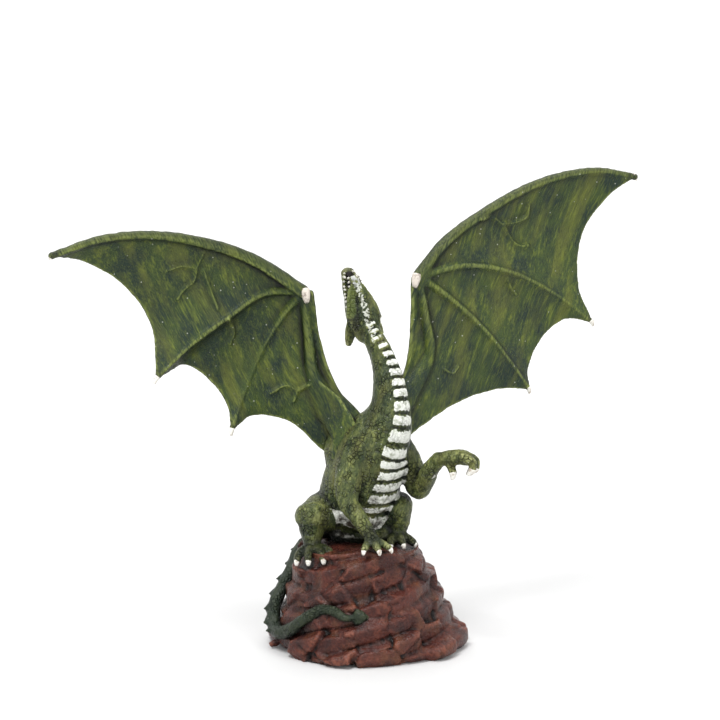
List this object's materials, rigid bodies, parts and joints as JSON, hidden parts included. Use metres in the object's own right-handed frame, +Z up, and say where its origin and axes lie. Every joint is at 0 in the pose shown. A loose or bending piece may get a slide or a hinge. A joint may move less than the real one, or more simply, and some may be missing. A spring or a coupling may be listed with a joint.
{
  "type": "dragon figurine on rock plinth",
  "caption": "Painted tabletop figurine of a winged dragon sitting on a layered rock plinth, head raised and wings spread.",
  "frame": {"origin": "centre of the rock's flat underside", "axes": "+X across the spread wings towards the dragon's left wing, +Y away from the viewer, +Z up"},
  "size_m": [0.2081, 0.0862, 0.1687],
  "materials": {
    "painted_rock": "red-brown hand-painted rock, satin",
    "painted_hide": "mottled green hand-painted scales, satin",
    "painted_wing": "dry-brushed green membrane, satin"
  },
  "bodies": {
    "root": {"rock_base": "painted_rock", "dragon": "painted_hide", "right_wing": "painted_wing", "left_wing": "painted_wing"}
  },
  "joints": []
}
